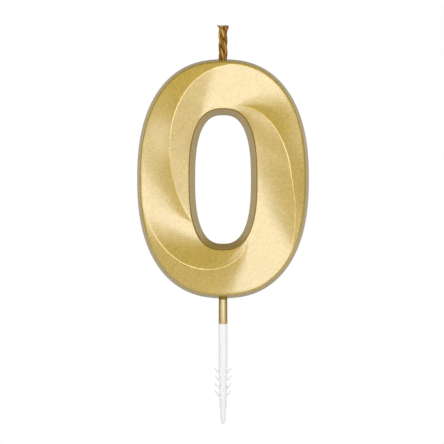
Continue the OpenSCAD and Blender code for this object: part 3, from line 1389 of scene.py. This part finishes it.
    def loose_end(self, side: float, draw: np.random.Generator) -> Patch:
        """Return the cut end of one outer yarn, which bends away from the bundle by a square.

        Args:
            side: Angle of the yarn from the way out, in radians.
            draw: Source of the ends' small differences.

        Returns:
            The closed end.
        """
        rows, sides = self.loose_grid
        top = self.high_z + draw.uniform(*self.loose_over)
        z = np.linspace(self.high_z - self.loose_l, top, rows)
        share = (z - z[0]) / (z[-1] - z[0])
        angle = self.way_out(z) + side
        out = self.loose_seat * self.radius + draw.uniform(*self.loose_out) * share ** 2
        path = self.centre(z)
        path[:, :2] += out[:, None] * np.stack([np.cos(angle), np.sin(angle)], -1)
        radius = self.loose_r - self.loose_thin * share
        return tube(path, rounded_radius(share, radius, self.loose_cap), sides)

    def hair(self, draw: np.random.Generator) -> Patch:
        """Return a loose fibre that leaves the strand by a power of its length.

        Args:
            draw: Source of the fibre's place, length and lean.

        Returns:
            The closed fibre.
        """
        rows, sides = self.hair_grid
        deepest, highest = self.hair_foot
        foot = draw.uniform(self.high_z - deepest, self.high_z - highest)
        length = draw.uniform(*self.hair_l)
        share = np.linspace(0, 1, rows)
        z = foot + length * share
        angle = self.yarn_angle(z) + draw.uniform(0, 2 * math.pi)
        out = self.hair_seat * self.radius + draw.uniform(*self.hair_out) * share ** self.hair_power
        path = self.centre(z)
        path[:, :2] += out[:, None] * np.stack([np.cos(angle), np.sin(angle)], -1)
        radius = self.hair_r - self.hair_thin * share
        return tube(path, rounded_radius(share, radius, self.hair_cap), sides)

    def build(self) -> bpy.types.Object:
        """Build the strand with its loose ends and fibres.

        Returns:
            The strand.
        """
        draw = np.random.default_rng(self.number)
        ends = [self.loose_end(side, draw) for side in self.loose_at]
        hairs = [self.hair(draw) for _ in range(self.hairs)]
        whole = Patch.joined([self.bundle(self.high_z - self.cut_gap), *ends, *hairs])
        return whole.piece(f"wick_yarns_{self.number}", self.sharp_angle)

    def dress(self, strand: bpy.types.Object, cotton: bpy.types.Material) -> None:
        """Give the built strand its cotton, its body and its node."""
        settle(strand, cotton, Body.CANDLE, f"wick_strand_{self.number}")


@dataclass(frozen=True)
class Stem:
    """The gold tube under the numeral, with a closed top and a socket for the pick.

    Attributes:
        low_z: Height of its open foot.
        high_z: Height of its closed top in the wax.
        foot_d: Diameter at the foot.
        diameter: Diameter where it enters the numeral.
        numeral_z: Height at which it enters the numeral.
        socket_d: Diameter of the socket.
        cap_t: Thickness of the closed top.
        hole_gap: Distance between the stem and its hole in the coat.
        easing: How far each corner is rounded, from the socket's end down, out and up to the top.
        sides: Points round the stem.
        sharp_angle: Angle in degrees past which an edge is shaded as a crease.
    """

    low_z: float
    high_z: float
    foot_d: float
    numeral_z: float
    diameter: float = 2.54
    socket_d: float = 1.6
    cap_t: float = 1.6
    hole_gap: float = 0.02
    easing: tuple[float, ...] = (0.1, 0.06, 0.09, 0.5, 0.15)
    sides: int = 96
    sharp_angle: float = 60.0

    @classmethod
    def from_frame(cls, numeral_z: float) -> "Stem":
        """Take the stem's ends and its foot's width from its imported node."""
        low, high = box_mm("stem")
        return cls(low[2], high[2], high[0] - low[0], numeral_z)

    def build(self) -> bpy.types.Object:
        """Build the stem as one turned outline, from the socket's end down, out and up to the top.

        Returns:
            The stem.
        """
        bore, foot, body = self.socket_d / 2, self.foot_d / 2, self.diameter / 2
        outline = np.array([
            [0, self.high_z - self.cap_t],
            [bore, self.high_z - self.cap_t],
            [bore, self.low_z],
            [foot, self.low_z],
            [body, self.numeral_z],
            [body, self.high_z],
            [0, self.high_z],
        ])
        return lathe(eased(outline, self.easing), self.sides).piece("stem_tube", self.sharp_angle)

    def dress(self, stem: bpy.types.Object, groups: Groups) -> None:
        """Give the built stem its lacquer, its body and its node."""
        settle(stem, stem_gold(self.numeral_z).material(groups), Body.CANDLE, "stem")


@dataclass(frozen=True)
class Pick:
    """The white pick: plug, smooth shaft, barbed taper, two-step tail and blunt point in one moulding.

    Attributes:
        low_z: Height of the point, below the origin.
        high_z: Height of the plug's top.
        barb_span: Distance between opposite barb tips.
        plug_d: Diameter of the plug.
        plug_chamfer: Chamfer on the plug's top.
        shaft_d: Diameter of the smooth shaft.
        tail_d: Diameter of the upper tail.
        point_d: Diameter of the lower tail.
        point_l: Length of the lower tail.
        tip_l: Length of the rounded point.
        tip_flat_r: Radius of the point's blunt end.
        tip_power: Power that sharpens the rounded point.
        tip_rows: Rows of points over it.
        tip_gap: Length of the lower tail that is left straight above it.
        barb_top: Depth of the top barb's tip.
        barb_pitch: Distance from one barb to the next.
        barb_count: Number of barbs on each side.
        barb_lean: Lean of a barb from the axis, in degrees.
        barb_w: Width of a barb from front to back.
        barb_root_t: Thickness of a barb at the axis.
        barb_tip_t: Thickness of a barb at its tip.
        barb_power: Squareness of a barb's section, where 2 is an ellipse.
        barb_ease: Share of an arm over which the pair's bend at the axis is eased.
        barb_close: Share of an arm over which its tip closes.
        barb_taper: Share of its width that a barb loses towards its tip.
        barb_blunt: Share of its width that the closing tip keeps.
        barb_rows: Sections of a pair of barbs.
        barb_sides: Points round a section.
        taper_lead: How far above the first barb's tip the shaft begins to taper.
        seam: Share by which the moulding seam stands out at either side.
        seam_w: Angle in radians over which the seam falls off.
        easing: How far each corner of the body is rounded, from the lower tail up to the plug's top.
        sides: Points round the body.
        sharp_angle: Angle in degrees past which an edge is shaded as a crease.
    """

    low_z: float
    high_z: float
    barb_span: float
    plug_d: float = 1.5
    plug_chamfer: float = 0.3
    shaft_d: float = 2.56
    tail_d: float = 1.98
    point_d: float = 1.52
    point_l: float = 2.6
    tip_l: float = 2.1
    tip_flat_r: float = 0.12
    tip_power: float = 1.3
    tip_rows: int = 12
    tip_gap: float = 0.2
    barb_top: float = 12.9
    barb_pitch: float = 2.2
    barb_count: int = 4
    barb_lean: float = 40.0
    barb_w: float = 2.2
    barb_root_t: float = 0.64
    barb_tip_t: float = 0.3
    barb_power: float = 3.2
    barb_ease: float = 0.06
    barb_close: float = 0.1
    barb_taper: float = 0.3
    barb_blunt: float = 0.35
    barb_rows: int = 61
    barb_sides: int = 28
    taper_lead: float = 0.9
    seam: float = 0.02
    seam_w: float = 0.05
    easing: tuple[float, ...] = (0.08, 0.08, 0.6, 1.0, 0.08, 0.06, 0.1, 0.05)
    sides: int = 96
    sharp_angle: float = 35.0

    @classmethod
    def from_frame(cls) -> "Pick":
        """Take the pick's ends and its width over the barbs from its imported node."""
        low, high = box_mm("pick")
        return cls(low[2], high[2], high[0] - low[0])

    def body(self) -> Patch:
        """Return the turned body, with two small humps round it for the moulding seam.

        Over the point, with a turn from a quarter at its end to 0 at the tail, the depth goes by the sine
        of the turn and the radius by a power of its cosine. A hump is a bell curve of the angle.

        Returns:
            The closed body.
        """
        last = self.barb_top + self.barb_pitch * (self.barb_count - 1)
        run = (self.barb_span - self.tail_d) / 2 / math.tan(math.radians(self.barb_lean))
        barbs_end = -(last + self.barb_tip_t + run)
        tip_z = self.low_z + self.tip_l
        point_z = tip_z + self.point_l
        turn = np.linspace(np.pi / 2, 0, self.tip_rows)
        tip = np.stack([
            self.tip_flat_r + (self.point_d / 2 - self.tip_flat_r) * np.cos(turn) ** self.tip_power,
            tip_z - self.tip_l * np.sin(turn),
        ], -1)
        plug = self.plug_d / 2
        steps = eased(np.array([
            [self.point_d / 2, tip_z + self.tip_gap],
            [self.point_d / 2, point_z],
            [self.tail_d / 2, point_z],
            [self.tail_d / 2, barbs_end],
            [self.shaft_d / 2, self.taper_lead - self.barb_top],
            [self.shaft_d / 2, 0],
            [plug, 0],
            [plug, self.high_z - self.plug_chamfer],
            [plug - self.plug_chamfer / 2, self.high_z],
            [0, self.high_z],
        ]), self.easing)
        outline = np.concatenate([[[0, self.low_z]], tip, steps])
        angle = ring_angles(self.sides)
        side = np.minimum(angle % np.pi, np.pi - angle % np.pi)
        return lathe(outline, self.sides, self.seam * np.exp(-(side / self.seam_w) ** 2))

    def chevron(self, depth: float) -> Patch:
        """Return one pair of barbs: a bent bar whose arms rise from the axis to their tips.

        With s from -1 at the left tip to 1 at the right one, x is half the span times s, and the height
        rises by the arm's drop times the eased distance of s from 0. The bar's section is a squared oval
        across the arm, thick at the axis and thin at the tips, where it closes.

        Args:
            depth: Depth of the tips below the origin.

        Returns:
            The closed bar.
        """
        s = np.sin(np.linspace(-np.pi / 2, np.pi / 2, self.barb_rows))
        half = self.barb_span / 2
        drop = half / math.tan(math.radians(self.barb_lean))
        reach = np.sqrt(s ** 2 + self.barb_ease ** 2)
        low = -depth - self.barb_tip_t / 2 - drop
        path = np.stack([half * s, np.zeros_like(s), low + drop * reach], -1)
        along = np.gradient(path, axis=0)
        along /= np.linalg.norm(along, axis=1, keepdims=True)
        up = np.stack([-along[:, 2], np.zeros_like(s), along[:, 0]], -1)
        out = np.abs(s)
        into = np.clip(out - (1 - self.barb_close), 0, None) / self.barb_close
        end = np.sqrt(np.clip(1 - into ** 2, 0, 1))
        thick = (self.barb_root_t * (1 - out) + self.barb_tip_t * out) / 2 * end
        kept = (self.barb_blunt + (1 - self.barb_blunt) * end) * (end > 0)
        wide = self.barb_w / 2 * (1 - self.barb_taper * out ** 3) * kept
        across, over = superellipse(ring_angles(self.barb_sides), 1, 1, self.barb_power).T
        front = np.array([0.0, -1.0, 0.0])
        points = (
            path[:, None]
            + (wide[:, None] * across)[..., None] * front
            + (thick[:, None] * over)[..., None] * up[:, None]
        )
        return Patch.grid(points, tube_chart(s, self.barb_sides), closed=True).welded()

    def build(self) -> bpy.types.Object:
        """Build the pick and fuse its barbs to its body.

        Returns:
            The pick.
        """
        pick = self.body().piece("barbed_pick", self.sharp_angle)
        for n in range(self.barb_count):
            barb = self.chevron(self.barb_top + n * self.barb_pitch).piece("barb")
            join_solid(pick, barb, Join.FUSE, self.sharp_angle)
        return pick

    def dress(self, pick: bpy.types.Object, groups: Groups) -> None:
        """Give the built pick its plastic, its body and its node."""
        settle(pick, PICK_PLASTIC.material(groups), Body.PICK, "pick")


@dataclass(frozen=True)
class WaxCore:
    """The cast wax under the coat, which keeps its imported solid.

    Attributes:
        node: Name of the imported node.
    """

    node: str = "wax_core"

    def dress(self, frame: dict[str, Any], groups: Groups) -> None:
        """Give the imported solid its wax.

        Args:
            frame: The loaded frame.
            groups: The shared shader groups.
        """
        core = frame["nodes"][self.node]
        core.data.materials.clear()
        core.data.materials.append(WAX.material(groups))
        LOG.info("%s: dressed as packed", core.name)


@dataclass(frozen=True)
class Softbox:
    """An even rectangle of light that faces the candle.

    Attributes:
        name: The lamp's name.
        azimuth: Direction of its middle from the front, in degrees towards +X.
        elevation: Direction of its middle above the horizon, in degrees.
        half_width: Half of its width as seen from the candle, in degrees.
        half_height: Half of its height as seen from the candle, in degrees.
        radiance: Brightness of its face.
        distance: Distance from the candle in metres.
    """

    name: str
    azimuth: float
    elevation: float
    half_width: float
    half_height: float
    radiance: float
    distance: float = 1.6

    def build(self, target: Vector) -> None:
        """Hang the lamp and turn it to the target.

        Args:
            target: The point that it faces.
        """
        lamp = bpy.data.lights.new(self.name, "AREA")
        lamp.shape = "RECTANGLE"
        lamp.size = 2 * self.distance * math.tan(math.radians(self.half_width))
        lamp.size_y = 2 * self.distance * math.tan(math.radians(self.half_height))
        lamp.energy = self.radiance * math.pi * lamp.size * lamp.size_y
        a, e = math.radians(self.azimuth), math.radians(self.elevation)
        way = Vector((math.sin(a) * math.cos(e), -math.cos(a) * math.cos(e), math.sin(e)))
        made = bpy.data.objects.new(self.name, lamp)
        made.location = target + way * self.distance
        made.rotation_euler = way.to_track_quat("Z", "Y").to_euler()
        made.visible_camera = False
        bpy.context.scene.collection.objects.link(made)


@dataclass(frozen=True)
class Room:
    """How bright the surroundings are to one kind of ray.

    Attributes:
        front: Brightness in front of the candle.
        rear: Brightness behind it.
        near: Forward parts of a direction between which the front's brightness is reached.
        far: Backward parts of a direction between which the rear's brightness is reached.
        lost: Share of the brightness that is lost overhead.
        overhead: Upward parts of a direction between which that share is reached.
    """

    front: float
    rear: float
    near: tuple[float, float]
    far: tuple[float, float]
    lost: float
    overhead: tuple[float, float] = (0.25, 0.5)

    def level(self, wiring: Wiring, way: bpy.types.Node) -> bpy.types.NodeSocket:
        """Add the room's brightness.

        Args:
            wiring: The world's wiring.
            way: The node that gives the three parts of a direction.

        Returns:
            The brightness's output.
        """
        ahead = wiring.math("MULTIPLY", way.outputs[1], -1.0)
        lit = wiring.math("MULTIPLY", wiring.ramp(ahead, *self.near), self.front)
        sweep = wiring.math("MULTIPLY", wiring.ramp(way.outputs[1], *self.far), self.rear)
        shade = wiring.math("MULTIPLY", wiring.ramp(way.outputs[2], *self.overhead), self.lost)
        return wiring.math("MULTIPLY", wiring.math("ADD", lit, sweep), wiring.rest(shade))


@dataclass(frozen=True)
class Studio:
    """Camera, lamps, surroundings and floor.

    Attributes:
        view_width: Width of the picture at the candle's middle plane, in millimetres.
        centre_x: Place of the picture's centre along X, in millimetres.
        centre_z: Place of the picture's centre along Z, in millimetres.
        distance: Distance of the camera in millimetres.
        ambient: The surroundings as light.
        mirrored: The surroundings that gloss sees.
        floor_z: Height of the floor in millimetres, below what the camera sees.
        floor_r: Radius of the floor in millimetres.
        floor_rows: Shares of that radius at which the floor has rings of points.
        floor_sides: Points in such a ring.
        floor_fade: Shares of that radius between which the floor fades into the sweep.
        floor_tint: Colour of the floor.
        floor_rough: Roughness of the floor.
        softboxes: The lamps.
    """

    view_width: float = 130.0
    centre_x: float = -0.3
    centre_z: float = 29.8
    distance: float = 1200.0
    ambient: Room = Room(1.13, 0.88, near=(-0.5, 0.3), far=(-0.3, 0.5), lost=0.55)
    mirrored: Room = Room(0.5, 0.52, near=(0.3, 0.75), far=(0.3, 0.75), lost=0.75)
    floor_z: float = -62.0
    floor_r: float = 400.0
    floor_rows: tuple[float, ...] = (1.0, 0.85, 0.7, 0.5, 0.3, 0.15, 0.0)
    floor_sides: int = 96
    floor_fade: tuple[float, float] = (0.3, 0.9)
    floor_tint: Colour = (0.9, 0.9, 0.9)
    floor_rough: float = 0.8
    softboxes: tuple[Softbox, ...] = (
        Softbox("main_box", 4.8, 0.8, 11.9, 10.3, 1.8),
        Softbox("upper_box", -5.0, 17.0, 10.6, 9.0, 1.35),
        Softbox("side_box", 38.0, 8.0, 14.0, 8.5, 0.4),
        Softbox("left_box", -37.0, 0.0, 9.0, 8.0, 0.55),
        Softbox("left_strip", -31.0, 1.0, 24.0, 7.6, 1.0, 1.9),
        Softbox("right_strip", 19.0, -0.6, 26.0, 9.2, 1.15, 1.9),
    )

    def hang_lamps(self) -> None:
        """Hang every softbox, facing the picture's centre."""
        target = Vector((self.centre_x, 0.0, self.centre_z)) * MM
        for softbox in self.softboxes:
            softbox.build(target)
            LOG.info("lamp %s", softbox.name)

    def set_camera(self) -> None:
        """Set up a level camera with a long lens, straight in front of the numeral."""
        data = bpy.data.cameras.new("camera")
        data.sensor_width = 36.0
        data.lens = data.sensor_width * self.distance / self.view_width
        data.clip_start, data.clip_end = 0.01, 100.0
        camera = bpy.data.objects.new("camera", data)
        camera.location = Vector((self.centre_x, -self.distance, self.centre_z)) * MM
        camera.rotation_euler = (math.pi / 2, 0.0, 0.0)
        bpy.context.scene.collection.objects.link(camera)
        bpy.context.scene.camera = camera
        bpy.context.scene.view_settings.view_transform = "Standard"

    def surround(self) -> None:
        """Make the surroundings: brighter in front as light, and a white sweep behind the candle.

        The camera and clear things see white. Gloss sees a dim room in front and the sweep at half its
        brightness behind, and both fade to dark at the sides.
        """
        world = bpy.data.worlds.new("studio")
        bpy.context.scene.world = world
        world.use_nodes = True
        wiring = Wiring(world.node_tree)
        world.node_tree.nodes.clear()
        path = wiring.add("LightPath").outputs
        way = wiring.add("SeparateXYZ", {"Vector": wiring.add("TexCoord").outputs["Generated"]})
        levels = [room.level(wiring, way) for room in (self.ambient, self.mirrored)]
        clear = wiring.math("MAXIMUM", path["Is Camera Ray"], path["Is Transmission Ray"])
        level = wiring.blend(path["Is Glossy Ray"], *levels)
        level = wiring.blend(clear, level, (1.0, 1.0, 1.0))
        light = wiring.add("Background", {"Color": level})
        sink = wiring.add("OutputWorld", {"Surface": light.outputs[0]})
        sink.is_active_output = True

    def lay_floor(self) -> None:
        """Lay a pale round floor that keeps the candle's shadow and fades into the sweep at its rim.

        The sweep is white to the camera and to clear things, and dimmer to gloss.
        """
        radius = np.array(self.floor_rows) * self.floor_r
        angle = ring_angles(self.floor_sides)
        flat = np.full((len(radius), len(angle)), self.floor_z)
        points = np.stack([np.outer(radius, np.cos(angle)), np.outer(radius, np.sin(angle)), flat], -1)
        floor = Patch.grid(points, closed=True).welded().piece("floor")
        material = bpy.data.materials.new("pale_floor")
        material.use_nodes = True
        wiring = Wiring(material.node_tree)
        shader = next(node for node in material.node_tree.nodes if node.type == "BSDF_PRINCIPLED")
        sink = next(node for node in material.node_tree.nodes if node.type == "OUTPUT_MATERIAL")
        wiring.fill(shader, {"Base Color": (*self.floor_tint, 1.0), "Roughness": self.floor_rough})
        away = wiring.off_axis(wiring.add("TexCoord").outputs["Object"])
        rim = wiring.ramp(away, *(share * self.floor_r * MM for share in self.floor_fade))
        path = wiring.add("LightPath").outputs
        seen = wiring.math("MAXIMUM", path["Is Camera Ray"], path["Is Transmission Ray"])
        seen = wiring.math("MAXIMUM", seen, path["Is Glossy Ray"])
        level = wiring.blend(path["Is Glossy Ray"], (1.0, 1.0, 1.0), (self.mirrored.rear,) * 3)
        sweep = wiring.add("Emission", {"Color": level, "Strength": 1.0})
        top = wiring.add("MixShader", {
            0: wiring.math("MULTIPLY", rim, seen), 1: shader.outputs[0], 2: sweep.outputs[0],
        })
        clear = wiring.add("BsdfTransparent")
        under = wiring.add("NewGeometry").outputs["Backfacing"]
        both = wiring.add("MixShader", {0: under, 1: top.outputs[0], 2: clear.outputs[0]})
        wiring.fill(sink, {"Surface": both.outputs[0]})
        floor.data.materials.append(material)


GOLD_COAT = GoldLacquer(
    name="gold_lacquer", ior=2.2, tint=(0.585, 0.402, 0.066), flake=0.00022, spread=0.4, metal=0.04,
    # The lacquer's colour darkens with painted shade where it is seen at a slant.
    rough=0.15, wave=0.006, wave_h=0.00002, flake_h=0.000003, slant_shade=0.18, painted_shade=0.85,
    # A line of painted shade runs along the rounding of the inner rim.
    shade_line=((-0.36, -0.2), (-0.08, 0.14)), crest_highlight=0.4, crest_highlight_line=(0.1, 0.3),
# The lighter band along the crests is a painted highlight.
)
PICK_PLASTIC = MouldedPlastic(
    name="moulded_white", ior=1.2, tint=(0.925, 0.925, 0.94), shade=(0.91, 0.91, 0.925), rough=0.4,
    wave=0.0015, wave_h=0.000004,
)
WAX = Paraffin(
    name="ivory_paraffin", ior=1.44, tint=(0.80, 0.70, 0.48), cloud=(0.86, 0.79, 0.62), rough=0.45,
    wave=0.004, wave_h=0.0001,
)


def stem_gold(numeral_z: float) -> GoldLacquer:
    """Return the stem's finish, with painted shade just under the numeral, where the stem meets it."""
    return GoldLacquer(
        name="gold_stem_finish", ior=2.7, tint=(0.60, 0.41, 0.09), flake=0.00012, spread=0.08, metal=0.1,
        # Painted shade where the stem is seen at a slant.
        rough=0.2, wave=0.003, wave_h=0.000006, flake_h=0.000001, slant_shade=0.35,
        # Painted shade: the stem turns brown and loses its gloss just under the numeral.
        shade_z=((numeral_z - 0.6) * MM, (numeral_z - 0.2) * MM),
    )


def wick_cotton(numeral_top: float, wick_top: float) -> WaxedCotton:
    """Return the wick's finish, soaked from the numeral's top up and pale at its cut end."""
    return WaxedCotton(
        name="waxed_cotton", ior=1.28, crown=(0.68, 0.38, 0.08), flank=(0.28, 0.115, 0.008),
        crease=(0.16, 0.072, 0.007), cut=(0.55, 0.42, 0.25), yarns=WickStrand.yarns,
        core_r=0.85 * MM, outside_r=WickStrand.diameter / 2 * MM,
        soak_z=(numeral_top * MM, (numeral_top + 1.6) * MM),
        cut_z=((wick_top - 0.45) * MM, (wick_top - 0.2) * MM),
    )


def main() -> None:
    """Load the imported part, build its pieces, dress them and set the stage."""
    logging.basicConfig(level=logging.INFO, format="%(message)s")
    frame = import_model()
    groups = Groups.made()
    studio = Studio()
    studio.set_camera()

    coat = NumeralCoat.from_frame()
    stem = Stem.from_frame(coat.centre_z - coat.height / 2)
    strands = [WickStrand.from_frame(number) for number in (1, 2, 3)]
    top = coat.centre_z + coat.height / 2
    past = 5.0
    holes = [
        (strands[0].diameter / 2 + strands[0].channel_gap, strands[0].low_z, top + past),
        (stem.diameter / 2 + stem.hole_gap, stem.numeral_z - past, stem.high_z),
    ]
    coat.dress(coat.build(holes), groups)
    cotton = wick_cotton(top, strands[0].high_z).material()
    for strand in strands:
        strand.dress(strand.build(), cotton)
    stem.dress(stem.build(), groups)
    pick = Pick.from_frame()
    pick.dress(pick.build(), groups)
    WaxCore().dress(frame, groups)

    studio.hang_lamps()
    studio.surround()
    studio.lay_floor()


if __name__ == "__main__":
    main()
